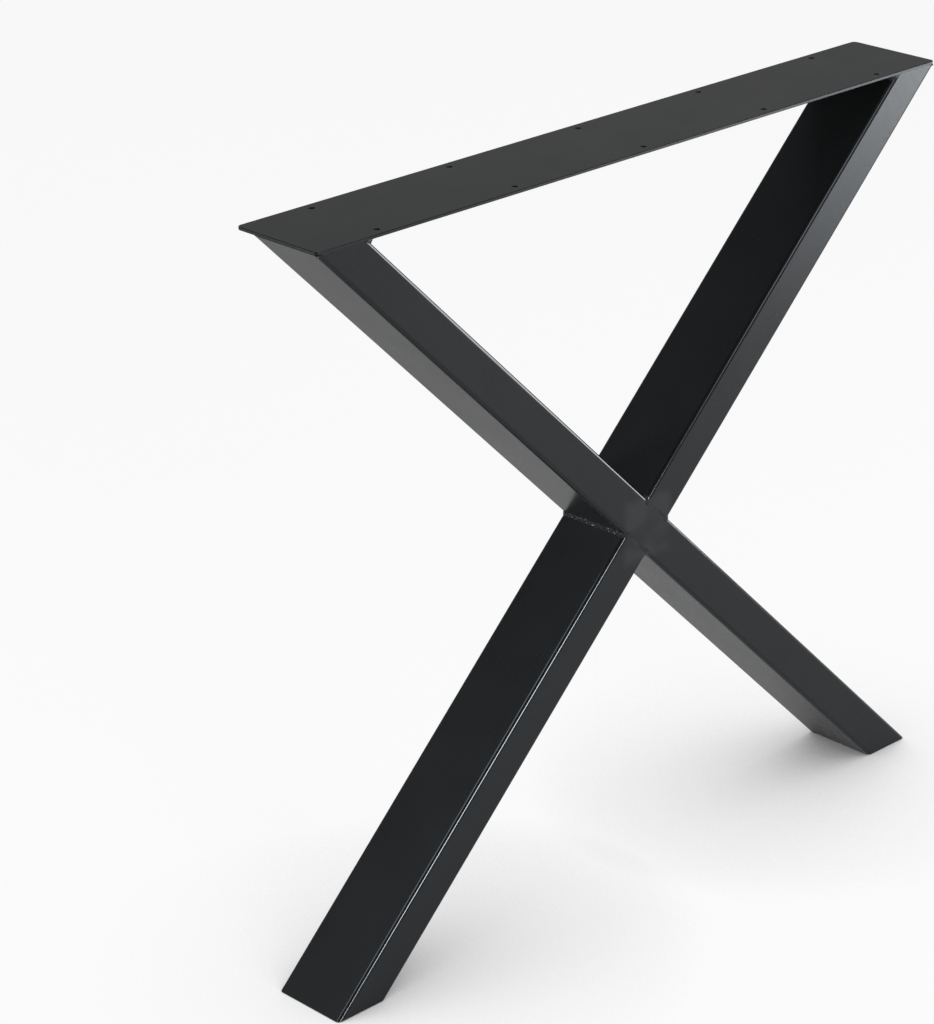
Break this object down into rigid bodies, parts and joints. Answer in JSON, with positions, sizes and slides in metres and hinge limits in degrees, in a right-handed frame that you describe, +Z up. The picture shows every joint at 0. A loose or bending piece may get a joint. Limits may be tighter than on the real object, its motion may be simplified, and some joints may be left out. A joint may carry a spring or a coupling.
{
  "type": "x shaped table leg",
  "caption": "Welded X shaped table leg of rectangular steel tube under a flat drilled top plate, powder coated black.",
  "frame": {"origin": "on the floor, under the middle of the top plate", "axes": "+X along the top plate, from the end where the unbroken tube starts towards the foot where it ends; +Y towards the side where the plate stands out past the tubes; +Z up"},
  "size_m": [0.79, 0.1, 0.72],
  "materials": {
    "tube_coat": "satin black powder coat with a very fine grain, on steel tube",
    "top_plate_coat": "satin black powder coat with a very fine grain, on flat steel plate",
    "weld_coat": "satin black powder coat over rippled and ground welds"
  },
  "bodies": {
    "root": {"top_plate": "top_plate_coat", "long_tube": "tube_coat", "upper_tube": "tube_coat", "lower_tube": "tube_coat", "foot_cap_left": "tube_coat", "foot_cap_right": "tube_coat", "crossing_bead_left": "weld_coat", "crossing_bead_right": "weld_coat", "crossing_bead_top": "weld_coat", "crossing_bead_bottom": "weld_coat", "seam_front_upper": "weld_coat", "seam_front_lower": "weld_coat", "seam_back_upper": "weld_coat", "seam_back_lower": "weld_coat", "plate_bead_left": "weld_coat", "plate_bead_right": "weld_coat", "plate_back_bead_left": "weld_coat", "plate_back_bead_right": "weld_coat"}
  },
  "joints": []
}
